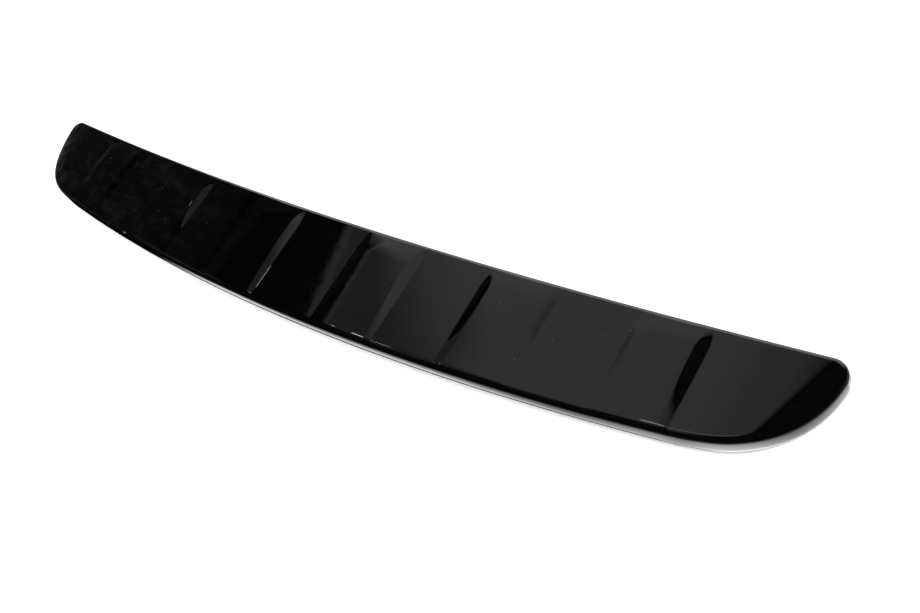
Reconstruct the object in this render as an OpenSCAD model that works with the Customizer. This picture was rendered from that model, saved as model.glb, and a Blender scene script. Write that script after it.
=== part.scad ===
// Rear bumper protector: one sheet of gloss black plastic, formed over a mould.
// It covers the loading edge on top of a rear bumper, between the tailgate and the bumper's face.
// X runs along the bumper, Y from the front lip towards the tailgate, Z up.
// The origin is at the bottom centre of the part's box.

/* [Overall] */
// Length over both ends
length = 1053; // [950:1:1150]
// Depth at the middle, from the front lip to the rear edge
depth = 118; // [105:1:130]
// Thickness of the formed sheet
sheet_t = 3; // [2:0.25:4]
// How far the ends of the top lie below its middle
crown = 11; // [4:0.5:30]

/* [Plan outline] */
// Radius of the long front curve
front_r = 2850; // [2200:10:4500]
// Radius of the shoulder between the front curve and the corner
shoulder_r = 285; // [200:5:400]
// How far the edge has turned where the shoulder meets the corner, in degrees
shoulder_turn = 16; // [14:0.5:24]
// Radius of the big front corner
corner_r = 102; // [90:1:108]
// Radius of the hollow rear curve along the tailgate
rear_r = 5700; // [4000:50:9000]
// Radius of the small rear corner
rear_corner_r = 15; // [10:0.5:20]

/* [Edges] */
// Height of the front and end lip, from the top surface to its cut edge
lip_h = 17.5; // [12:0.5:24]
// Outward lean of the lip, in degrees
lip_lean = 2; // [0:0.5:5]
// Outer radius of the fold between the top and the lip
fold_r = 5.5; // [4.5:0.25:7]
// Height of the short rear return
return_h = 8; // [7.5:0.5:12]
// Outer radius of the rear fold
rear_fold_r = 5; // [4.5:0.25:6.5]
// Size of the softened corners along the trimmed edge
trim_soft = 0.5; // [0.2:0.1:0.8]

/* [End droop] */
// Extra drop of each end at its tip
droop = 3.2; // [1:0.1:5]
// Width of the drooping band, measured in from the tip
droop_w = 24; // [16:1:40]
// Direction in which the end droops, in degrees round from the front
droop_turn = 67; // [55:1:75]

/* [Raised pads] */
// Number of pads on each side of the middle
pads_a_side = 3; // [1:1:3]
// Width of a pad, foot to foot
pad_w = 79; // [60:0.5:80]
// Width of the outermost pad
end_pad_w = 68.5; // [50:0.5:70]
// Space between two neighbouring pads
pad_gap = 74.5; // [60:0.5:76]
// Space between the two middle pads
middle_gap = 88; // [70:0.5:92]
// Height of a pad at the top of its ramps
pad_h = 2.3; // [1:0.1:3.5]
// Crown of a pad's top, from its ramps to its middle
pad_crown = 0.5; // [0.1:0.05:0.6]
// Width of the ramps along a pad's sides, where the pad is highest
ramp_w = 11; // [9:0.1:16]
// Half the width of the crease at a ramp's foot
crease = 0.8; // [0.4:0.1:1.2]
// Height of a pad at the front fold, as a share of its full height
pad_front = 0.3; // [0.1:0.05:0.4]
// Where a pad is at its full height, as a share of the depth from the front
pad_full = 0.7; // [0.5:0.01:0.78]
// Where a pad starts to fall to the rear, as a share of the depth from the front
pad_fall = 0.8; // [0.79:0.01:0.92]
// How far a pad's sides draw in where it dies out at the rear
pad_round = 3.5; // [1:0.5:6]

/* [Hidden] */

// Steps of the surface: rows from front to rear, columns in each end, steps round a fold
rows = 14;
end_columns = 9;
fold_steps = 5;
// Rows and columns that go round the small rear corner, and the share of the side they take
corner_steps = 3;
corner_share = 0.12;
// Turn of the edge where the front side ends and the end side begins
split_turn = 50;

half = length / 2;
to_deg = 180 / PI;

// Outward direction of the edge after turning by a degrees from the front
function out_dir(a) = [sin(a), -cos(a)];
// Turn whose outward direction is v, from 0 to 360 degrees
function turn_of(v) = (atan2(v[0], -v[1]) + 360) % 360;
function mix(a, b, t) = a + (b - a) * t;
function clamp01(t) = min(max(t, 0), 1);
function smooth(t) = t * t * (3 - 2 * t);

// Right half of the plan outline: five arcs, each tangent to the next.
// circles(reach) places them for big corners whose circles reach out to reach from the middle:
// [turn where the front curve ends, and the centres of the shoulder, the big and the small corner]
front_c = [0, front_r];
rear_c = [0, depth + rear_r];
function circles(reach) =
    let (
        turn = asin((reach - shoulder_r * sin(shoulder_turn) - corner_r * (1 - sin(shoulder_turn)))
            / (front_r - shoulder_r)),
        shoulder = front_c + (front_r - shoulder_r) * out_dir(turn),
        corner = shoulder + (shoulder_r - corner_r) * out_dir(shoulder_turn),
        // The small corner touches the big corner from inside and the rear curve from outside
        inner = corner_r - rear_corner_r,
        outer = rear_r + rear_corner_r,
        apart = norm(rear_c - corner),
        along = (apart ^ 2 + inner ^ 2 - outer ^ 2) / (2 * apart),
        across = sqrt(inner ^ 2 - along ^ 2),
        to_rear = (rear_c - corner) / apart
    )
    [turn, shoulder, corner, corner + along * to_rear + across * [to_rear[1], -to_rear[0]]];
// The small corner cuts the tip of the big one's circle, so the circles reach out by that much more
function tip_cut(c) = (corner_r - rear_corner_r) * (1 - sin(turn_of(c[3] - c[2])));
placed = circles(half + tip_cut(circles(half)));
front_turn = placed[0];
shoulder_c = placed[1];
corner_c = placed[2];
rear_corner_c = placed[3];
corner_end = turn_of(rear_corner_c - corner_c);
rear_turn = turn_of(rear_c - rear_corner_c);
// Turn at the very end of the panel, which is on the small corner, and half way on to the rear curve
side_turn = 90;
tip_turn = (side_turn + rear_turn) / 2;

// Point of the outermost edge at turn a, from the front middle to the end of the rear corner
function edge(a) =
    a < front_turn ? front_c + front_r * out_dir(a)
    : a < shoulder_turn ? shoulder_c + shoulder_r * out_dir(a)
    : a < corner_end ? corner_c + corner_r * out_dir(a)
    : rear_corner_c + rear_corner_r * out_dir(a);
// Point of the rear curve whose outward direction is turn a, a little past 180 degrees
function rear_edge(a) = rear_c - rear_r * out_dir(a);

// Section of the edge: the front's form goes over to the rear's round the small corner
function rear_share(a) = smooth(clamp01(-cos(a) / 0.9));
function lean(a) = mix(lip_lean, 0, rear_share(a));
function fold(a) = mix(fold_r, rear_fold_r, rear_share(a));
function height(a) = mix(lip_h, return_h, rear_share(a));
function flare(a) = (height(a) - fold(a) * (1 - sin(lean(a)))) * tan(lean(a));
// Distance from the outermost edge in to the line where the fold starts
function inset(a) = flare(a) + fold(a) * cos(lean(a));

// A station is a point on the fold's start line and the turn of the edge there
function station(a) = [edge(a) - inset(a) * out_dir(a), a];
function rear_station(a) = [rear_edge(a) - inset(a) * out_dir(a), a];
function front_turn_at(x) =
    let (a = asin(x / (front_r - inset(0))))
    a < front_turn ? a : asin((x - shoulder_c[0]) / (shoulder_r - inset(0)));
function rear_turn_at(x) = 180 + asin(x / (rear_r + inset(180)));

// Length of the edge between two turns, and the turn reached after a length s from turn a
arc_ends = [front_turn, shoulder_turn, corner_end];
arc_radii = [front_r, shoulder_r, corner_r];
function arc_way(a, b, k) =
    k == len(arc_ends) ? 0
    : max(0, min(b, arc_ends[k]) - a) * arc_radii[k] / to_deg
        + arc_way(max(a, arc_ends[k]), b, k + 1);
function turn_after(a, s, k) =
    let (room = max(0, arc_ends[k] - a) * arc_radii[k] / to_deg)
    s <= room || k == len(arc_ends) - 1 ? a + s / arc_radii[k] * to_deg
    : turn_after(max(a, arc_ends[k]), s - room, k + 1);

// Pads: inner foot and width of each, on the right half
function width_of(p) = p == pads_a_side - 1 ? end_pad_w : pad_w;
function inner_foot(p) = middle_gap / 2 + p * (pad_w + pad_gap);
function outer_foot(p) = inner_foot(p) + width_of(p);
pad_list = [0 : pads_a_side - 1];

// Height of a pad at share v of the depth, as a share of its full height. It starts within the
// front fold, swells towards the rear, and dies out in a round just past the start of the rear fold
top_depth = depth - inset(0) - inset(180);
pad_end = 1 + 0.2 * rear_fold_r / top_depth;
function fallen(v) = clamp01((v - pad_fall) / (pad_end - pad_fall));
function swell(v) =
    v < 0 ? pad_front * smooth(clamp01(1 + v * top_depth / fold_r))
    : v < pad_full ? mix(pad_front, 1, smooth(v / pad_full))
    : (1 - fallen(v) ^ 2) ^ 1.5;
function draw_in(v) = pad_round * fallen(v) ^ 2;

// Share that a pad keeps of its ramps' width and of its crown: they go more slowly than its height
function spread(v) = swell(v) ^ (v < pad_full ? 0.2 : 0.45);

// Width of a ramp at share v of the depth, never less than its creases need
least_ramp = 3 * crease;
function ramp_at(v) = max(ramp_w * spread(v), least_ramp);

// Rise at distance s in from a pad's foot, where its ramp is w wide and half its width is c:
// flat, crease, ramp that eases off towards its top, crowned top
ramp_ease = 1.2;
function ramp_rise(s, w) = pad_h * (1 - (1 - clamp01(s / w)) ^ ramp_ease);
function crown_rise(s, w, c) = pad_crown * (1 - clamp01((c - s) / (c - w)) ^ 2);
function side_rise(s, v, c) =
    let (w = ramp_at(v), h = swell(v))
    s < -crease ? 0
    : s < crease ? h * ramp_rise(crease, w) * ((s + crease) / (2 * crease)) ^ 2
    : h * ramp_rise(s, w) + spread(v) * crown_rise(s, w, c);
function way_in(x, p) = min(abs(x) - inner_foot(p), outer_foot(p) - abs(x));
function rise(x, v) =
    max([for (p = pad_list) side_rise(way_in(x, p) - draw_in(v), v, width_of(p) / 2)]);

// Top surface without its pads: a long crown, and a droop past a line across each end
bow = crown / half ^ 2;
droop_dir = out_dir(droop_turn);
droop_start = (corner_c + corner_r * droop_dir) * droop_dir - droop_w;
function top_z(p) =
    let (s = max(0, [abs(p[0]), p[1]] * droop_dir - droop_start))
    -bow * p[0] ^ 2 - droop * (s / droop_w) ^ 2;

// Share of a side reached at step i of n: even steps, then the steps round the small corner
function share(i, n) =
    i <= n - corner_steps ? (1 - corner_share) * i / (n - corner_steps)
    : 1 - corner_share * (n - i) / corner_steps;
function row_v(j) = share(j, rows);

// Straight columns of the right half: [x, direction towards the pad's middle, share of the ramp]
bend_share = 0.65;
function foot_columns(foot, side) = [
    [foot - side * crease, side, 0],
    [foot + side * crease, side, 0],
    [foot, side, bend_share],
    [foot, side, 1],
];
function turned(list) = [for (i = [len(list) - 1 : -1 : 0]) list[i]];
straight = [
    [0, 0, 0],
    for (p = pad_list) each [
        each foot_columns(inner_foot(p), 1),
        [(inner_foot(p) + outer_foot(p)) / 2, 0, 0],
        each turned(foot_columns(outer_foot(p), -1)),
        if (p < pads_a_side - 1) [outer_foot(p) + pad_gap / 2, 0, 0],
    ],
];
last_x = outer_foot(pads_a_side - 1) + crease;
function straight_x(c, v) = c[0] + c[1] * (draw_in(v) + c[2] * ramp_at(v));
function straight_point(c, v) =
    let (
        x = straight_x(c, v),
        front = station(front_turn_at(x))[0],
        rear = rear_station(rear_turn_at(x))[0]
    )
    [x, mix(front[1], rear[1], v)];

// Columns of the right end fan out from the last straight one to the end of the panel
fan_turn = front_turn_at(last_x);
fan_way = arc_way(fan_turn, split_turn, 0);
function fan_front(i) = station(turn_after(fan_turn, share(i, end_columns) * fan_way, 0));
function fan_rear(i) =
    i <= end_columns - corner_steps
    ? rear_station(mix(rear_turn_at(last_x), rear_turn, i / (end_columns - corner_steps)))
    : station(mix(tip_turn, rear_turn, (end_columns - i) / corner_steps));
function end_side(j) =
    j <= rows - corner_steps ? station(mix(split_turn, side_turn, j / (rows - corner_steps)))
    : station(mix(tip_turn, side_turn, (rows - j) / corner_steps));
function fan_point(i, j) =
    let (
        v = row_v(j),
        bulge = end_side(j)[0] - mix(fan_front(end_columns)[0], fan_rear(end_columns)[0], v)
    )
    mix(fan_front(i)[0], fan_rear(i)[0], v) + share(i, end_columns) * bulge;

// Columns are counted from the middle, negative to the left
last_straight = len(straight) - 1;
side_columns = last_straight + end_columns;
all_columns = 2 * side_columns + 1;
function flip(p, i) = i < 0 ? [-p[0], p[1]] : p;
function plan_point(i, j) =
    let (n = abs(i))
    flip(n <= last_straight ? straight_point(straight[n], row_v(j)) : fan_point(n - last_straight, j), i);

// Stations round the panel: front left to right, right end, rear right to left, left end
function side_station(n, rear) =
    n > last_straight ? (rear ? fan_rear(n - last_straight) : fan_front(n - last_straight))
    : let (x = straight_x(straight[n], rear ? 1 : 0))
      rear ? rear_station(rear_turn_at(x)) : station(front_turn_at(x));
function signed(s, i) = [flip(s[0], i), flip(out_dir(s[1]), i), s[1]];
rim = [
    for (i = [-side_columns : side_columns]) signed(side_station(abs(i), false), i),
    for (j = [1 : rows - 1]) signed(end_side(j), 1),
    for (i = [side_columns : -1 : -side_columns]) signed(side_station(abs(i), true), i),
    for (j = [rows - 1 : -1 : 1]) signed(end_side(j), -1),
];
rim_count = len(rim);

// Section of the edge, from the top's rim round the cut edge to the underside's rim: [out, down,
// how far out this step of the fold is on its outer face]
function section(a) =
    let (
        bend = 90 - lean(a),
        r = fold(a),
        r_in = r - sheet_t,
        wall = sheet_t / cos(lean(a)),
        edge_out = inset(a),
        h = height(a)
    )
    [
        for (k = [1 : fold_steps])
            let (t = bend * k / fold_steps) [r * sin(t), r * (1 - cos(t)), r * sin(t)],
        [edge_out - trim_soft * tan(lean(a)), h - trim_soft, edge_out],
        [edge_out - trim_soft, h, edge_out],
        [edge_out - wall + trim_soft, h, edge_out],
        [edge_out - wall, h - trim_soft, edge_out],
        for (k = [fold_steps : -1 : 1])
            let (t = bend * k / fold_steps) [r_in * sin(t), sheet_t + r_in * (1 - cos(t)), r * sin(t)],
    ];
ring_count = len(section(0));

function lifted(p, down, up) = [p[0], p[1], top_z(p) - down + up];
top_points = [for (i = [-side_columns : side_columns], j = [0 : rows])
    let (p = plan_point(i, j)) lifted(p, 0, rise(p[0], row_v(j)))];
under_points = [for (p = top_points) [p[0], p[1], p[2] - sheet_t]];
rim_sections = [for (s = rim) section(s[2])];
// The pads go on a little way over the front and the rear fold
ring_points = [for (k = [0 : ring_count - 1], n = [0 : rim_count - 1])
    let (s = rim[n], q = rim_sections[n][k], p = s[0] + q[0] * s[1], past = q[2] / top_depth)
    lifted(p, q[1], rise(p[0], s[2] > 90 ? 1 + past : -past))];
points = [each top_points, each ring_points, each under_points];

// Numbers of the points: top and underside by column and row, rings by ring and station
under_first = len(top_points) + len(ring_points);
function top_no(i, j) = (i + side_columns) * (rows + 1) + j;
rim_no = [
    for (i = [-side_columns : side_columns]) top_no(i, 0),
    for (j = [1 : rows - 1]) top_no(side_columns, j),
    for (i = [side_columns : -1 : -side_columns]) top_no(i, rows),
    for (j = [rows - 1 : -1 : 1]) top_no(-side_columns, j),
];
function ring_no(k, n) =
    let (m = n % rim_count)
    k == 0 ? rim_no[m]
    : k <= ring_count ? len(top_points) + (k - 1) * rim_count + m
    : under_first + rim_no[m];

// Two triangles for a four-sided patch, wound clockwise as seen from outside
function patch(a, b, c, d) = [[a, b, c], [a, c, d]];
grid_faces = [for (i = [-side_columns : side_columns - 1], j = [0 : rows - 1])
    each i < 0
        ? patch(top_no(i, j), top_no(i, j + 1), top_no(i + 1, j + 1), top_no(i + 1, j))
        : patch(top_no(i + 1, j), top_no(i, j), top_no(i, j + 1), top_no(i + 1, j + 1))];
under_faces = [for (f = grid_faces) [for (k = [2, 1, 0]) f[k] + under_first]];
ring_faces = [for (k = [0 : ring_count], n = [0 : rim_count - 1])
    each patch(ring_no(k, n), ring_no(k, n + 1), ring_no(k + 1, n + 1), ring_no(k + 1, n))];

low_z = min([for (p = points) p[2]]);
mid_y = (min([for (p = points) p[1]]) + max([for (p = points) p[1]])) / 2;

module protector_panel() {
    color([0.03, 0.03, 0.032])
        translate([0, -mid_y, -low_z])
            polyhedron(points, [each grid_faces, each ring_faces, each under_faces], convexity = 6);
}

protector_panel();
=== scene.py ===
"""Rear bumper protector: one formed sheet of gloss black plastic on a white studio floor.

The sheet is drawn as a flat blank, formed over its mould, folded down all round and trimmed.
Lengths in the shape are millimetres; the finished mesh, the materials and the studio are in metres.
"""

import math

import bmesh
import bpy
from mathutils import Matrix, Vector


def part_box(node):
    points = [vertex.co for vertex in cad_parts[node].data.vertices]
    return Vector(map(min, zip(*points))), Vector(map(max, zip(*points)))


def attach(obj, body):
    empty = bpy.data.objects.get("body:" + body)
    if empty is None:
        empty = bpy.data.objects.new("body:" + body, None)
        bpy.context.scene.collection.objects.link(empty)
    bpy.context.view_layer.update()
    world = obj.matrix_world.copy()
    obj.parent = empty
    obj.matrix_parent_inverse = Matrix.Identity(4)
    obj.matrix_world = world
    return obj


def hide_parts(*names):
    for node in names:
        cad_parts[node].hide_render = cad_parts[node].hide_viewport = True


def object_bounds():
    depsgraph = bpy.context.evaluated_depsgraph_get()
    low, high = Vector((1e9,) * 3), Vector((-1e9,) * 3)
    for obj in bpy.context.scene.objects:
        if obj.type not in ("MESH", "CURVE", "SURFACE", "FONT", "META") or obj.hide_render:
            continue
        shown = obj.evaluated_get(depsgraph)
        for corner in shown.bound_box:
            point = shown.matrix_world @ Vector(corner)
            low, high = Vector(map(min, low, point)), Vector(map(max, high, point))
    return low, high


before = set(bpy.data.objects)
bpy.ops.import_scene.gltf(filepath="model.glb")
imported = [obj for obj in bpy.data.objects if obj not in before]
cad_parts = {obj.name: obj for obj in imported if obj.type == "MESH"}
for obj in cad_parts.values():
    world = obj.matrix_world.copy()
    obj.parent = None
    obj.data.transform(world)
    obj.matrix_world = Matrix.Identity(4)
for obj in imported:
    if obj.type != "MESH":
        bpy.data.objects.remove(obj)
cad_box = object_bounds()

MM = 0.001

# Sizes of the part, in mm, and turns in degrees from the front's middle
LENGTH, DEPTH, SHEET, CROWN = 1053.0, 118.0, 3.0, 11.0
HALF = LENGTH / 2
FRONT_R, SHOULDER_R, SHOULDER_TURN, CORNER_R = 2850.0, 285.0, 16.0, 102.0
REAR_R, REAR_CORNER_R = 5700.0, 15.0
LIP_H, LIP_LEAN, FOLD_R = 17.5, 2.0, 5.5
RETURN_H, REAR_FOLD_R = 8.0, 5.0
TRIM_SOFT, TRIM_TURN = 0.5, 60.0
SIDE_TURN = 90.0
DROOP, DROOP_W, DROOP_TURN = 3.2, 24.0, 67.0
PADS, PAD_W, END_PAD_W, PAD_GAP, MIDDLE_GAP = 3, 79.0, 68.5, 74.5, 88.0
PAD_H, PAD_CROWN, RAMP_W, RAMP_EASE, CREASE = 2.3, 0.5, 11.0, 1.2, 0.8
PAD_FRONT, PAD_FULL, PAD_FALL, PAD_ROUND = 0.3, 0.7, 0.8, 3.5
# The pads end past the rear fold's start by this share of its radius, and fall with this power
PAD_OVER, PAD_FALL_EASE = 0.2, 1.5
# Powers of a pad's height that its ramps' width and its crown follow, before and after its full height
SPREAD_FRONT, SPREAD_REAR = 0.2, 0.45
RAMP_LEAST = 3 * CREASE
# The edge has its full rear section where minus the cosine of its turn reaches this
REAR_BLEND = 0.9

# Steps of the mesh: rows from front to rear, columns of a half's fan, and how many crowd in a corner
ROWS, ROW_CORNER = 48, 8
FAN, FAN_CORNER = 34, 9
CORNER_SHARE = 0.12
SPLIT_TURN = 50.0
FOLD_STEPS, LIP_STEPS, TRIM_STEPS = 12, 5, 3
# Columns along X: their width between pads, their number on a pad's top, and those of a ramp as
# multiples of the crease, shares of the ramp's width and distances past it
COLUMN_W, PAD_COLUMNS = 8.5, 9
CREASE_COLUMNS = (-2, -1, -0.5, 0, 0.5, 1)
RAMP_COLUMNS = (0.15, 0.3, 0.45, 0.6, 0.72, 0.82, 0.89, 0.94, 0.97, 1)
PAST_RAMP = (0.5, 1.5)


# Plan outline
def sind(a):
    return math.sin(math.radians(a))


def cosd(a):
    return math.cos(math.radians(a))


def asind(x):
    return math.degrees(math.asin(x))


def out_dir(a):
    return Vector((sind(a), -cosd(a)))


def turn_of(v):
    return math.degrees(math.atan2(v[0], -v[1])) % 360


def mix(a, b, t):
    return a + (b - a) * t


def clamp01(t):
    return min(max(t, 0.0), 1.0)


def smooth(t):
    return t * t * (3 - 2 * t)


front_c = Vector((0, FRONT_R))
rear_c = Vector((0, DEPTH + REAR_R))


def circles(reach):
    """Turn where the front curve ends, and the centres of the shoulder, the big and the small corner."""
    turn = asind(
        (reach - SHOULDER_R * sind(SHOULDER_TURN) - CORNER_R * (1 - sind(SHOULDER_TURN)))
        / (FRONT_R - SHOULDER_R)
    )
    shoulder = front_c + (FRONT_R - SHOULDER_R) * out_dir(turn)
    corner = shoulder + (SHOULDER_R - CORNER_R) * out_dir(SHOULDER_TURN)
    inner, outer = CORNER_R - REAR_CORNER_R, REAR_R + REAR_CORNER_R
    to_rear = rear_c - corner
    apart = to_rear.length
    to_rear = to_rear / apart
    along = (apart**2 + inner**2 - outer**2) / (2 * apart)
    across = math.sqrt(inner**2 - along**2)
    small = corner + along * to_rear + across * Vector((to_rear[1], -to_rear[0]))
    return turn, shoulder, corner, small


def tip_cut(c):
    """How much the small corner takes off the reach of the big one, for circles c."""
    return (CORNER_R - REAR_CORNER_R) * (1 - sind(turn_of(c[3] - c[2])))


front_turn, shoulder_c, corner_c, rear_corner_c = circles(HALF + tip_cut(circles(HALF)))
corner_end = turn_of(rear_corner_c - corner_c)
rear_turn = turn_of(rear_c - rear_corner_c)
tip_turn = (SIDE_TURN + rear_turn) / 2


def edge(a):
    """Point of the outline's front and end where it faces turn a."""
    if a < front_turn:
        return front_c + FRONT_R * out_dir(a)
    if a < SHOULDER_TURN:
        return shoulder_c + SHOULDER_R * out_dir(a)
    if a < corner_end:
        return corner_c + CORNER_R * out_dir(a)
    return rear_corner_c + REAR_CORNER_R * out_dir(a)


def rear_edge(a):
    return rear_c - REAR_R * out_dir(a)


# Section of the edge
def rear_share(a):
    """How much of the rear's section the edge has at turn a, from 0 to 1."""
    return smooth(clamp01(-cosd(a) / REAR_BLEND))


def lean(a):
    return mix(LIP_LEAN, 0.0, rear_share(a))


def fold(a):
    return mix(FOLD_R, REAR_FOLD_R, rear_share(a))


def height(a):
    return mix(LIP_H, RETURN_H, rear_share(a))


def flare(a):
    return (height(a) - fold(a) * (1 - sind(lean(a)))) * math.tan(math.radians(lean(a)))


def inset(a):
    """How far the fold starts inside the outline."""
    return flare(a) + fold(a) * cosd(lean(a))


def station(a):
    """Start of the fold, and its turn."""
    return edge(a) - inset(a) * out_dir(a), a


def rear_station(a):
    return rear_edge(a) - inset(a) * out_dir(a), a


def front_turn_at(x):
    a = asind(x / (FRONT_R - inset(0)))
    return a if a < front_turn else asind((x - shoulder_c[0]) / (SHOULDER_R - inset(0)))


def rear_turn_at(x):
    return 180 + asind(x / (REAR_R + inset(180)))


ARC_ENDS = (front_turn, SHOULDER_TURN, corner_end)
ARC_RADII = (FRONT_R, SHOULDER_R, CORNER_R)


def arc_way(a, b):
    """Length of the outline from turn a to turn b."""
    way = 0.0
    for end, r in zip(ARC_ENDS, ARC_RADII):
        way += math.radians(max(0.0, min(b, end) - a)) * r
        a = max(a, end)
    return way


def turn_after(a, s):
    """Turn at length s of the outline after turn a."""
    for k, (end, r) in enumerate(zip(ARC_ENDS, ARC_RADII)):
        room = math.radians(max(0.0, end - a)) * r
        if s <= room or k == len(ARC_ENDS) - 1:
            return a + math.degrees(s / r)
        a, s = max(a, end), s - room


# Raised pads
def inner_foot(p):
    return MIDDLE_GAP / 2 + p * (PAD_W + PAD_GAP)


def width_of(p):
    return END_PAD_W if p == PADS - 1 else PAD_W


def outer_foot(p):
    return inner_foot(p) + width_of(p)


TOP_DEPTH = DEPTH - inset(0) - inset(180)
PAD_END = 1 + PAD_OVER * REAR_FOLD_R / TOP_DEPTH


def fallen(v):
    """How far a pad has died out at the rear at share v of the depth, from 0 to 1."""
    return clamp01((v - PAD_FALL) / (PAD_END - PAD_FALL))


def swell(v):
    """Height of a pad at share v of the depth, as a share of its full height."""
    if v < 0:
        return PAD_FRONT * smooth(clamp01(1 + v * TOP_DEPTH / FOLD_R))
    if v < PAD_FULL:
        return mix(PAD_FRONT, 1, smooth(v / PAD_FULL))
    return (1 - fallen(v) ** 2) ** PAD_FALL_EASE


def draw_in(v):
    """How far a pad's feet draw in where it dies out."""
    return PAD_ROUND * fallen(v) ** 2


def spread(v):
    """Share that a pad keeps of its ramps' width and of its crown: they go more slowly than its height."""
    return swell(v) ** (SPREAD_FRONT if v < PAD_FULL else SPREAD_REAR)


def ramp_at(v):
    return max(RAMP_W * spread(v), RAMP_LEAST)


def ramp_rise(s, w):
    return PAD_H * (1 - (1 - clamp01(s / w)) ** RAMP_EASE)


def crown_rise(s, w, c):
    return PAD_CROWN * (1 - clamp01((c - s) / (c - w)) ** 2)


def side_rise(s, v, c):
    """Rise at distance s in from a pad's foot: crease, easing ramp, crowned top."""
    w, h = ramp_at(v), swell(v)
    if s < -CREASE:
        return 0.0
    if s < CREASE:
        return h * ramp_rise(CREASE, w) * ((s + CREASE) / (2 * CREASE)) ** 2
    return h * ramp_rise(s, w) + spread(v) * crown_rise(s, w, c)


def rise(x, v):
    """Rise of the pads at place x along the part and share v of its depth."""
    x, d = abs(x), draw_in(v)
    return max(
        side_rise(min(x - inner_foot(p), outer_foot(p) - x) - d, v, width_of(p) / 2)
        for p in range(PADS)
    )


BOW = CROWN / HALF**2
droop_dir = out_dir(DROOP_TURN)
droop_start = (corner_c + CORNER_R * droop_dir).dot(droop_dir) - DROOP_W


def top_z(x, y):
    s = max(0.0, abs(x) * droop_dir[0] + y * droop_dir[1] - droop_start)
    return -BOW * x * x - DROOP * (s / DROOP_W) ** 2


# Columns and rows
def share(i, n, steps):
    """Share of the way at step i of n, where the last steps crowd in the corner."""
    if i <= n - steps:
        return (1 - CORNER_SHARE) * i / (n - steps)
    return 1 - CORNER_SHARE * (n - i) / steps


def between(a, b, n):
    return [mix(a, b, (k + 1) / (n + 1)) for k in range(n)]


def straight_columns():
    """Columns of the right half as (x, direction, share of the ramp's width)."""
    ramp = [(CREASE * k, 0) for k in CREASE_COLUMNS]
    ramp += [(CREASE * (1 - k), k) for k in RAMP_COLUMNS]
    ramp += [(past, 1) for past in PAST_RAMP]
    wide = RAMP_W + PAST_RAMP[-1]
    cols = [(0.0, 0, 0)]
    last = 0.0
    for p in range(PADS):
        a, b = inner_foot(p), outer_foot(p)
        start = a + ramp[0][0]
        cols += [(x, 0, 0) for x in between(last, start, round((start - last) / COLUMN_W))]
        cols += [(a + d, 1, k) for d, k in ramp]
        cols += [(x, 0, 0) for x in between(a + wide, b - wide, PAD_COLUMNS)]
        cols += [(b - d, -1, k) for d, k in reversed(ramp)]
        last = b - ramp[0][0]
    return cols


STRAIGHT = straight_columns()
LAST_X = STRAIGHT[-1][0]
LAST = len(STRAIGHT) - 1
SIDE = LAST + FAN
fan_turn = front_turn_at(LAST_X)
fan_way = arc_way(fan_turn, SPLIT_TURN)


def row_v(j):
    return share(j, ROWS, ROW_CORNER)


def straight_x(c, v):
    return c[0] + c[1] * (draw_in(v) + c[2] * ramp_at(v))


def straight_point(c, v):
    x = straight_x(c, v)
    front = station(front_turn_at(x))[0]
    rear = rear_station(rear_turn_at(x))[0]
    return Vector((x, mix(front[1], rear[1], v)))


def fan_front(i):
    return station(turn_after(fan_turn, share(i, FAN, FAN_CORNER) * fan_way))


def fan_rear(i):
    n = FAN - FAN_CORNER
    if i <= n:
        return rear_station(mix(rear_turn_at(LAST_X), rear_turn, i / n))
    return station(mix(tip_turn, rear_turn, (FAN - i) / FAN_CORNER))


def end_side(j):
    n = ROWS - ROW_CORNER
    if j <= n:
        return station(mix(SPLIT_TURN, SIDE_TURN, j / n))
    return station(mix(tip_turn, SIDE_TURN, (ROWS - j) / ROW_CORNER))


def fan_point(i, j):
    v = row_v(j)
    bulge = end_side(j)[0] - mix(fan_front(FAN)[0], fan_rear(FAN)[0], v)
    return mix(fan_front(i)[0], fan_rear(i)[0], v) + share(i, FAN, FAN_CORNER) * bulge


def plan_point(i, j):
    n = abs(i)
    p = straight_point(STRAIGHT[n], row_v(j)) if n <= LAST else fan_point(n - LAST, j)
    return Vector((-p[0], p[1])) if i < 0 else p


def side_station(n, rear):
    if n > LAST:
        return fan_rear(n - LAST) if rear else fan_front(n - LAST)
    x = straight_x(STRAIGHT[n], 1 if rear else 0)
    return rear_station(rear_turn_at(x)) if rear else station(front_turn_at(x))


def rim_station(i, j):
    """Fold start point, outward direction and turn of the rim vertex at column i and row j."""
    if j in (0, ROWS):
        p, a = side_station(abs(i), j == ROWS)
    else:
        p, a = end_side(j)
    way = out_dir(a)
    if i < 0:
        p, way = Vector((-p[0], p[1])), Vector((-way[0], way[1]))
    return p, way, a


def sections(a):
    """Rings of the edge after the top's rim, down to the cut edge, as (out, down)."""
    bend, r = 90 - lean(a), fold(a)
    rings = [(r * sind(bend * k / FOLD_STEPS), r * (1 - cosd(bend * k / FOLD_STEPS)))
             for k in range(1, FOLD_STEPS + 1)]
    o, d = rings[-1]
    rings += [(mix(o, inset(a), k / LIP_STEPS), mix(d, height(a), k / LIP_STEPS))
              for k in range(1, LIP_STEPS + 1)]
    return rings


# The formed sheet
def formed_top():
    """The flat blank laid over the mould, and the column and row of each vertex."""
    bpy.ops.object.select_all(action="DESELECT")
    bpy.ops.mesh.primitive_grid_add(
        x_subdivisions=2 * SIDE, y_subdivisions=ROWS, size=2, location=(0, 0, 0)
    )
    sheet = bpy.context.object
    sheet.name = sheet.data.name = "formed_sheet"
    cells = {}
    for v in sheet.data.vertices:
        i = round((v.co.x + 1) * SIDE) - SIDE
        j = round((v.co.y + 1) / 2 * ROWS)
        p = plan_point(i, j)
        cells[v.index] = (i, j)
        v.co = (p[0], p[1], top_z(p[0], p[1]) + rise(p[0], row_v(j)))
    return sheet, cells


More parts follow.
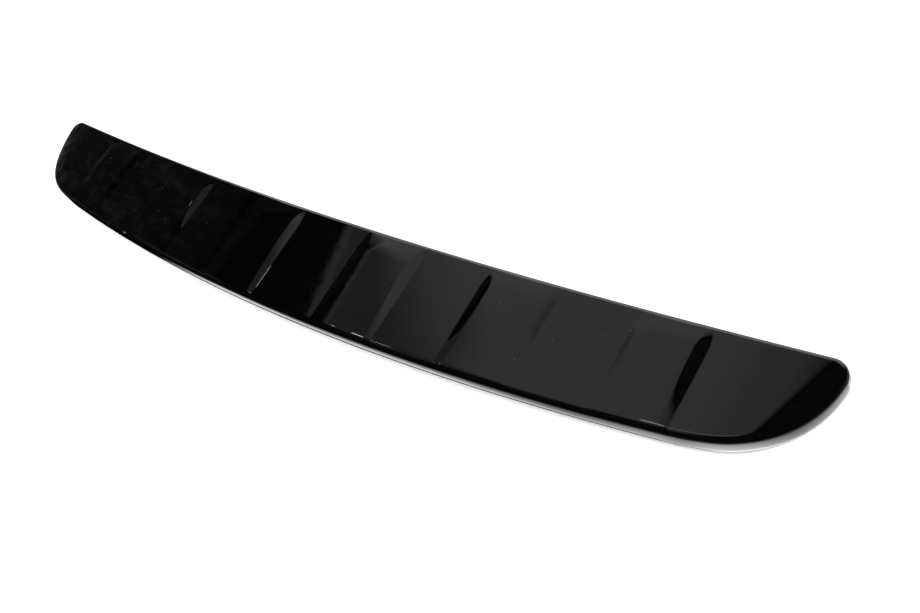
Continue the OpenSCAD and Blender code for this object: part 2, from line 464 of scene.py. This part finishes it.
def fold_down(sheet, cells):
    """Extrudes the border ring by ring, round the fold and down the lip."""
    bpy.ops.object.mode_set(mode="EDIT")
    bpy.ops.mesh.select_mode(type="EDGE")
    bpy.ops.mesh.select_all(action="SELECT")
    bpy.ops.mesh.region_to_loop()
    rim = {}
    for n in range(FOLD_STEPS + LIP_STEPS):
        bpy.ops.mesh.extrude_region_move()
        bm = bmesh.from_edit_mesh(sheet.data)
        fresh = [v for v in bm.verts if v.select]
        for v in fresh:
            old = next(e.other_vert(v) for e in v.link_edges if not e.other_vert(v).select)
            if n == 0:
                at, way, a = rim_station(*cells[old.index])
                rim[v.index] = (at, way, sections(a), a > SIDE_TURN)
            else:
                rim[v.index] = rim[old.index]
        for v in fresh:
            at, way, rings, rear = rim[v.index]
            out, down = rings[n]
            x, y = at[0] + out * way[0], at[1] + out * way[1]
            # The pads go on a little way over the front and the rear fold
            past = out / TOP_DEPTH
            v.co = (x, y, top_z(x, y) - down + rise(x, 1 + past if rear else -past))
        bmesh.update_edit_mesh(sheet.data)
    bpy.ops.object.mode_set(mode="OBJECT")


def lay_in_box(mesh, lo, hi):
    """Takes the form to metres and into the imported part's box."""
    form = [v.co.copy() for v in mesh.vertices]
    low = [min(p[k] for p in form) for k in range(3)]
    high = [max(p[k] for p in form) for k in range(3)]
    for v, p in zip(mesh.vertices, form):
        v.co = [mix(lo[k], hi[k], (p[k] - low[k]) / (high[k] - low[k])) for k in range(3)]


def formed_sheet():
    """The sheet with its folds, its thickness and a softly trimmed edge."""
    sheet, cells = formed_top()
    fold_down(sheet, cells)
    lo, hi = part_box("protector_panel")
    lay_in_box(sheet.data, lo, hi)

    wall = sheet.modifiers.new("wall", "SOLIDIFY")
    wall.thickness = SHEET * MM
    wall.offset = -1
    wall.use_even_offset = True
    wall.use_quality_normals = True
    bpy.ops.object.modifier_apply(modifier="wall")
    trim = sheet.modifiers.new("trim", "BEVEL")
    trim.width = TRIM_SOFT * MM
    trim.segments = TRIM_STEPS
    trim.limit_method = "ANGLE"
    trim.angle_limit = math.radians(TRIM_TURN)
    bpy.ops.object.modifier_apply(modifier="trim")
    for v in sheet.data.vertices:
        v.co.z = max(v.co.z, lo.z)
    bpy.ops.object.shade_smooth()
    return sheet


# Materials
class Graph:
    """Node tree of a material or of the world, with short calls for what is used here."""

    def __init__(self, tree):
        tree.nodes.clear()
        self.nodes, self.links = tree.nodes, tree.links

    def feed(self, socket, source):
        """Gives an input a value, or the output of another node."""
        if isinstance(source, bpy.types.NodeSocket):
            self.links.new(source, socket)
        else:
            socket.default_value = source

    def node(self, kind, *sources, **settings):
        """Adds a node, sets its properties and feeds its first inputs."""
        made = self.nodes.new("ShaderNode" + kind)
        for key, value in settings.items():
            setattr(made, key, value)
        for socket, source in zip(made.inputs, sources):
            self.feed(socket, source)
        return made

    def maths(self, operation, *sources):
        return self.node("Math", *sources, operation=operation).outputs[0]

    def total(self, parts):
        level = parts[0]
        for part in parts[1:]:
            level = self.maths("ADD", level, part)
        return level

    def ramp(self, source, low, high, at_low, at_high):
        """Takes source from low..high to at_low..at_high with a soft start and end, level outside."""
        made = self.node("MapRange", source, low, high, at_low, at_high, interpolation_type="SMOOTHSTEP")
        return made.outputs[0]

    def coordinates(self, kind="Object"):
        return self.node("TexCoord").outputs[kind]

    def axes(self, kind="Object"):
        """X, Y and Z of the object's own coordinates, or of another kind."""
        return self.node("SeparateXYZ", self.coordinates(kind)).outputs

    def noise(self, scale, detail, squeeze=(1, 1, 1), distortion=0.0):
        """Noise over the object's own coordinates, squeezed along each axis by a factor."""
        place = self.node("Mapping", self.coordinates())
        self.feed(place.inputs["Scale"], squeeze)
        made = self.node("TexNoise")
        self.feed(made.inputs["Vector"], place.outputs[0])
        self.feed(made.inputs["Scale"], scale)
        self.feed(made.inputs["Detail"], detail)
        self.feed(made.inputs["Roughness"], NOISE_ROUGHNESS)
        self.feed(made.inputs["Distortion"], distortion)
        return made.outputs[0]

    def surface(self, shader):
        self.node("OutputMaterial", shader.outputs[0])


def new_material(name):
    mat = bpy.data.materials.new(name)
    mat.use_nodes = True
    return mat, Graph(mat.node_tree)


# A ramp below is written as its low, high, value at low and value at high
# Haze: clouds of fine dust and wiping marks, more of both towards the left end
NOISE_ROUGHNESS = 0.6
CLOUDS = {"scale": 42, "detail": 8, "distortion": 1.5}
CLOUD_RAMP = (0.46, 0.68, 0.0, 1.0)
WIPES = {"scale": 14, "detail": 6, "squeeze": (1, 4.5, 1), "distortion": 0.8}
WIPE_RAMP = (0.52, 0.66, 0.0, 0.7)
HANDLED_RAMP = (-0.34, -0.08, 1.0, 0.12)
# Dust along X at the left end, and there along the rim, by the distance outside the outline
END_DUST_RAMP = (-0.512, -0.462, 3.2, 0.0)
AT_END_RAMP = (-0.478, -0.440, 1.0, 0.0)
RIM_DUST_RAMP = (-0.020, -0.012, 0.0, 4.5)
# What lies between the clouds, where there is dust
EVEN_DUST = 0.25
# Specks: cells to a metre, the random value from which a cell has one, and its fade from the centre out
SPECK_CELLS, SPECK_CHOICE = 48, 0.92
SPECK_RAMP = (0.010, 0.022, 1.0, 0.0)
# Grey, roughness and refraction of the clean plastic, and what haze and specks add
PLASTIC_GREY, HAZE_GREY, SPECK_GREY = 0.0016, 0.0060, 0.22
POLISH, HAZE_ROUGHNESS, PLASTIC_IOR = 0.045, 0.035, 1.5
# Slight waves of the surface, with their height in metres
WAVES = {"scale": 40, "detail": 2}
WAVE_HEIGHT = 0.00005
# Painted highlights, pale marks for glints on two left pads and the front fold: centre, half width along
# X, half length along Y and grey
PAINTED_HIGHLIGHTS = (
    (-0.04375, -0.0425, 0.0004, 0.0150, 0.34),
    (-0.21000, 0.0070, 0.0004, 0.0035, 0.30),
    (-0.28250, -0.0538, 0.0030, 0.0006, 0.30),
)
# Their sides and ends are soft by these shares of the halves
HIGHLIGHT_SIDE, HIGHLIGHT_END = 0.4, 0.2
# Where |X| passes from the front curve to the corner arc
CORNER_RAMP = (0.42, 0.46, 0.0, 1.0)


def gap_outside(graph, x, y):
    """Distance of a point outside the part's front curve, or outside its corner arcs near the ends."""
    across = graph.maths("ABSOLUTE", x)
    spot = graph.node("CombineXYZ", across, y).outputs[0]
    gaps = []
    for centre, radius in ((front_c, FRONT_R), (corner_c, CORNER_R)):
        at = (centre[0] * MM, centre[1] * MM + cad_box[0][1], 0)
        away = graph.node("VectorMath", spot, at, operation="DISTANCE")
        gaps.append(graph.maths("SUBTRACT", away.outputs["Value"], radius * MM))
    step = graph.maths("SUBTRACT", gaps[1], gaps[0])
    return graph.maths("MULTIPLY_ADD", step, graph.ramp(across, *CORNER_RAMP), gaps[0])


def dust_and_smears(graph, x, y):
    """Haze all over the surface, and the dust at the left end."""
    clouds = graph.ramp(graph.noise(**CLOUDS), *CLOUD_RAMP)
    wipes = graph.ramp(graph.noise(**WIPES), *WIPE_RAMP)
    haze = graph.maths("MULTIPLY", graph.maths("ADD", clouds, wipes), graph.ramp(x, *HANDLED_RAMP))
    rim_dust = graph.ramp(gap_outside(graph, x, y), *RIM_DUST_RAMP)
    at_end = graph.ramp(x, *AT_END_RAMP)
    end_dust = graph.maths("MULTIPLY_ADD", rim_dust, at_end, graph.ramp(x, *END_DUST_RAMP))
    dusty = graph.maths("MULTIPLY", graph.maths("ADD", clouds, EVEN_DUST), end_dust)
    return graph.maths("ADD", haze, dusty)


def specks(graph):
    """Round grains of dust, one in some cells of a random pattern seen from above."""
    cells = graph.node("TexVoronoi", graph.coordinates(), voronoi_dimensions="2D")
    graph.feed(cells.inputs["Scale"], SPECK_CELLS)
    pick = graph.node("SeparateColor", cells.outputs["Color"])
    near = graph.ramp(cells.outputs["Distance"], *SPECK_RAMP)
    chosen = graph.maths("GREATER_THAN", pick.outputs[0], SPECK_CHOICE)
    return graph.maths("MULTIPLY", graph.maths("MULTIPLY", near, chosen), SPECK_GREY)


def painted_highlight(graph, x, y, at_x, at_y, half_x, half_y, pale):
    """A painted highlight: a pale oblong mark with soft sides and ends that stands in for a glint."""
    aside = graph.maths("ABSOLUTE", graph.maths("SUBTRACT", x, at_x))
    along = graph.maths("ABSOLUTE", graph.maths("SUBTRACT", y, at_y))
    side = graph.ramp(aside, (1 - HIGHLIGHT_SIDE) * half_x, (1 + HIGHLIGHT_SIDE) * half_x, pale, 0.0)
    return graph.maths("MULTIPLY", side, graph.ramp(along, (1 - HIGHLIGHT_END) * half_y, half_y, 1.0, 0.0))


def gloss_black():
    """High-gloss black plastic with slight waves, finger smears, a haze of dust, specks, and pale marks
    painted in as highlights.
    """
    mat, graph = new_material("gloss_black")
    x, y = graph.axes()[:2]
    haze = dust_and_smears(graph, x, y)
    # Dust specks, and pale marks painted in as highlights
    specks_and_highlights = graph.total([specks(graph)] + [painted_highlight(graph, x, y, *highlight) for highlight in PAINTED_HIGHLIGHTS])
    # Dust specks and the painted highlights are on the outer side only
    outer = graph.maths("GREATER_THAN", graph.axes("Normal")["Z"], 0.0)
    grey = graph.maths("MULTIPLY_ADD", haze, HAZE_GREY, PLASTIC_GREY)
    grey = graph.maths("MULTIPLY_ADD", specks_and_highlights, outer, grey)
    waves = graph.node("Bump")
    graph.feed(waves.inputs["Strength"], 1.0)
    graph.feed(waves.inputs["Distance"], WAVE_HEIGHT)
    graph.feed(waves.inputs["Height"], graph.noise(**WAVES))

    shader = graph.node("BsdfPrincipled")
    graph.feed(shader.inputs["Base Color"], graph.node("CombineColor", grey, grey, grey).outputs[0])
    graph.feed(shader.inputs["Roughness"], graph.maths("MULTIPLY_ADD", haze, HAZE_ROUGHNESS, POLISH))
    graph.feed(shader.inputs["IOR"], PLASTIC_IOR)
    graph.feed(shader.inputs["Normal"], waves.outputs[0])
    graph.surface(shader)
    return mat


# The floor: its height and half width, its white, and the glow that the camera sees
FLOOR_Z, FLOOR_HALF = -0.0003, 15
FLOOR_WHITE = (0.8, 0.8, 0.8, 1)
FLOOR_SHOWN = 0.8
# The glow fades in the shadow close to the part: how far that reaches, and its fade with the open sky
SHADE_REACH, SHADE_SAMPLES = 0.06, 8
SHADE_RAMP = (0.38, 0.50, 0.1, 1.0)
# The lip stands off the floor by about this much at mid length, and the spot that it mirrors lies away
# from it by a share of that height: this much at mid length, and more by this much a metre to the right
LIP_RAISED = (CROWN + DROOP) * MM
SLIDE, SLIDE_GROWTH = 0.48, 0.27
# The sheen that gloss shows on the floor along the lip: how it starts, how its length grows along X,
# the power of its fall, and its gains along X, which are added
SHEEN_START_RAMP = (-0.0015, 0.0, 0.04, 3.2)
SHEEN_LENGTH_RAMP = (0.32, 0.44, 0.003, 0.011)
SHEEN_POWER = -2.0
SHEEN_GAINS = (
    (-0.25, -0.10, 0.0, 0.7),
    (0.0, 0.2, 0.0, 0.3),
    (0.425, 0.47, 0.0, 1.1),
    (0.48, 0.515, 0.0, -1.2),
)
# What gloss shows of the floor behind the part, along Y
BEHIND_RAMP = (0.06, 0.10, 0.0, 0.6)


def mirrored_floor(graph):
    """Level of the floor as gloss shows it: bright along the front lip, dim behind, dark elsewhere."""
    x, y = graph.axes()[:2]
    end_share = graph.maths("MULTIPLY", x, 1 / (HALF * MM))
    bowed = graph.maths("MULTIPLY", end_share, end_share)
    raised = graph.maths("MULTIPLY_ADD", bowed, -LIP_RAISED, LIP_RAISED)
    foot = graph.maths("MULTIPLY", raised, graph.maths("MULTIPLY_ADD", x, SLIDE_GROWTH, SLIDE))
    gap = graph.maths("SUBTRACT", gap_outside(graph, x, y), foot)
    fall = graph.maths("DIVIDE", graph.maths("MAXIMUM", gap, 0.0), graph.ramp(x, *SHEEN_LENGTH_RAMP))
    sheen = graph.maths("POWER", graph.maths("ADD", fall, 1.0), SHEEN_POWER)
    beside = graph.maths("MULTIPLY", sheen, graph.ramp(gap, *SHEEN_START_RAMP))
    gains = graph.total([graph.ramp(x, *gain) for gain in SHEEN_GAINS])
    beside = graph.maths("MULTIPLY", beside, gains)
    return graph.maths("ADD", beside, graph.ramp(y, *BEHIND_RAMP))


def studio_floor():
    """White floor that keeps the shadow, with a level of its own for gloss."""
    mat, graph = new_material("studio_floor")
    path = graph.node("LightPath").outputs
    sky = graph.node("AmbientOcclusion", samples=SHADE_SAMPLES)
    graph.feed(sky.inputs["Distance"], SHADE_REACH)
    lit = graph.ramp(sky.outputs["AO"], *SHADE_RAMP)
    seen = graph.maths("MAXIMUM", path["Is Camera Ray"], path["Is Transmission Ray"])
    shown = graph.maths("MULTIPLY", seen, FLOOR_SHOWN)
    glow = graph.node("Emission")
    graph.feed(glow.inputs["Strength"], graph.maths("MULTIPLY", shown, lit))
    white = graph.node("BsdfDiffuse", FLOOR_WHITE)
    plain = graph.node("AddShader", white.outputs[0], glow.outputs[0])
    gloss = graph.node("Emission")
    graph.feed(gloss.inputs["Strength"], mirrored_floor(graph))
    graph.surface(graph.node("MixShader", path["Is Glossy Ray"], plain.outputs[0], gloss.outputs[0]))
    return mat


def cloth(name, radiance, *fades):
    """Glowing cloth: radiance times its fades, each a sum of ramps along an axis less slant times Y."""
    mat, graph = new_material(name)
    axes = graph.axes()
    level = radiance
    for fade in fades:
        parts = []
        for axis, slant, *ramp in fade:
            along = graph.maths("MULTIPLY_ADD", axes["Y"], -slant, axes[axis])
            parts.append(graph.ramp(along, *ramp))
        level = graph.maths("MULTIPLY", level, graph.total(parts))
    glow = graph.node("Emission")
    graph.feed(glow.inputs["Strength"], level)
    graph.surface(glow)
    return mat


# The studio's cloths: radiances and fades, each part of a fade as axis, slant and ramp
# The soft box overhead is mirrored in the top: a slanted left edge with a bright rim, and dimmer sides
BOX_RADIANCE, BOX_LEFT, BOX_SLANT = 0.66, -0.92, -0.25
BOX_LEFT_FADE = (
    ("X", BOX_SLANT, BOX_LEFT - 0.010, BOX_LEFT + 0.012, 0.0, 0.60),
    ("X", BOX_SLANT, BOX_LEFT + 0.012, BOX_LEFT + 0.045, 0.0, -0.27),
    ("X", 4 * BOX_SLANT, BOX_LEFT + 0.44, BOX_LEFT + 0.86, 0.0, 0.67),
)
BOX_DIM_FADE = (("X", 0.0, 0.11, 0.19, 1.0, 0.74),)
BOX_RIGHT_FADE = (("X", 0.0, 0.235, 0.36, 1.0, 0.0),)
BOX_REAR_FADE = (("Y", 0.0, 0.48, 1.15, 1.0, 1.1),)
# The wall behind the part is mirrored in its rear fold
WALL_RADIANCE = 1.95
WALL_LEFT_FADE = (("X", 0.0, -3.6, -3.0, 0.0, 1.0),)
WALL_DIM_FADE = (("X", 0.0, -2.60, -2.35, 1.0, 0.66), ("X", 0.0, -2.00, -1.80, 0.0, 0.34))
WALL_RIGHT_FADE = (("X", 0.0, 0.8, 2.4, 1.0, 0.0),)
# Past the left end there is a glow low down, mirrored in the ramps of the left pads
END_RADIANCE = 1.0
END_REAR_FADE = (("Y", 0.0, 0.42, 0.55, 1.0, 0.12),)
END_FRONT_FADE = (("Y", 0.0, -0.40, 0.30, 0.3, 1.0),)
END_UPPER_FADE = (("Z", 0.0, 0.3, 0.5, 0.5, 0.14), ("Z", 0.0, 0.7, 1.0, 0.0, -0.14))
PANEL_RADIANCE, LAMP_RADIANCE, LONG_LAMP_RADIANCE = 0.2, 18.0, 8.0
# Places of the studio's planes
BOX_Z, LAMP_Z = 1.13, 1.12
WALL_Y, END_X, PANEL_X = 2.6, -3.2, -2.8


def stage_plane(name, material, lo, hi):
    """Flat rectangle between two corners that share one coordinate."""
    bpy.ops.object.select_all(action="DESELECT")
    bpy.ops.mesh.primitive_plane_add(size=1, location=(0, 0, 0))
    plane = bpy.context.object
    plane.name = name
    span = [b - a for a, b in zip(lo, hi)]
    flat = span.index(0)
    for v in plane.data.vertices:
        shares = [v.co.x + 0.5, v.co.y + 0.5]
        v.co = [a if k == flat else a + d * shares.pop(0) for k, (a, d) in enumerate(zip(lo, span))]
    plane.data.materials.append(material)
    return plane


def place_lights():
    """Planes that glow; the lamps under the soft box are mirrored where the front fold starts."""
    box = cloth("soft_box_cloth", BOX_RADIANCE, BOX_LEFT_FADE, BOX_DIM_FADE, BOX_RIGHT_FADE, BOX_REAR_FADE)
    wall = cloth("rear_wall_cloth", WALL_RADIANCE, WALL_LEFT_FADE, WALL_DIM_FADE, WALL_RIGHT_FADE)
    end = cloth("room_glow", END_RADIANCE, END_REAR_FADE, END_FRONT_FADE, END_UPPER_FADE)
    panel = cloth("front_panel_glow", PANEL_RADIANCE)
    lamp = cloth("lamp_glow", LAMP_RADIANCE)
    long_lamp = cloth("long_lamp_glow", LONG_LAMP_RADIANCE)
    lights = (
        ("soft_box", box, (-1.5, -0.6, BOX_Z), (0.40, 1.25, BOX_Z)),
        ("rear_wall", wall, (-3.7, WALL_Y, 0.0), (3.0, WALL_Y, 2.8)),
        ("room_end", end, (END_X, -1.5, 0.0), (END_X, 1.8, 1.0)),
        ("front_panel", panel, (PANEL_X, -1.6, 1.3), (PANEL_X, -0.5, 1.9)),
        ("small_lamp", lamp, (-0.870, 0.10, LAMP_Z), (-0.856, 0.13, LAMP_Z)),
        ("middle_lamp", lamp, (-0.72, 0.10, LAMP_Z), (-0.640, 0.13, LAMP_Z)),
        ("right_lamp", long_lamp, (0.07, 0.19, LAMP_Z), (0.30, 0.215, LAMP_Z)),
    )
    for name, glow, lo, hi in lights:
        stage_plane(name, glow, lo, hi).visible_camera = False


# The room's light on matt surfaces, and the dark that gloss mirrors where nothing glows
AMBIENT, DARK = 0.9, 0.03


def light_room():
    """Pale to the camera, even light for matt surfaces, dark to gloss."""
    world = bpy.data.worlds.new("studio")
    bpy.context.scene.world = world
    world.use_nodes = True
    graph = Graph(world.node_tree)
    path = graph.node("LightPath").outputs
    seen = graph.maths("MAXIMUM", path["Is Camera Ray"], path["Is Transmission Ray"])
    level = graph.maths("MULTIPLY_ADD", path["Is Diffuse Ray"], AMBIENT, DARK)
    room = graph.node("Background")
    graph.feed(room.inputs["Strength"], graph.maths("MAXIMUM", seen, level))
    graph.node("OutputWorld", room.outputs[0])


# The camera: its place, and in degrees the turn and height it looks from, and its roll
EYE = Vector((0.698386, -0.26305, 0.73444))
AZ, EL, ROLL = 62.558, 50.909, -36.373
# Lens and sensor width in mm, and the nearest distance seen in metres
LENS, SENSOR, NEAR = 38.534, 36, 0.01


def place_camera():
    back = Vector((sind(AZ) * cosd(EL), -cosd(AZ) * cosd(EL), sind(EL)))
    level = (-back).cross(Vector((0, 0, 1))).normalized()
    upright = level.cross(-back)
    right = cosd(ROLL) * level + sind(ROLL) * upright
    up = -sind(ROLL) * level + cosd(ROLL) * upright
    camera = bpy.data.objects.new("camera", bpy.data.cameras.new("camera"))
    bpy.context.scene.collection.objects.link(camera)
    camera.data.lens = LENS
    camera.data.sensor_width = SENSOR
    camera.data.clip_start = NEAR
    turn = Matrix((right, up, back)).transposed().to_4x4()
    camera.matrix_world = Matrix.Translation(EYE) @ turn
    bpy.context.scene.camera = camera


# Building
sheet = formed_sheet()
sheet.data.materials.append(gloss_black())
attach(sheet, "root")
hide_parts("protector_panel")

floor_corners = (-FLOOR_HALF, -FLOOR_HALF, FLOOR_Z), (FLOOR_HALF, FLOOR_HALF, FLOOR_Z)
stage_plane("studio_floor", studio_floor(), *floor_corners)
place_lights()
light_room()
place_camera()
bpy.context.scene.view_settings.view_transform = "Standard"
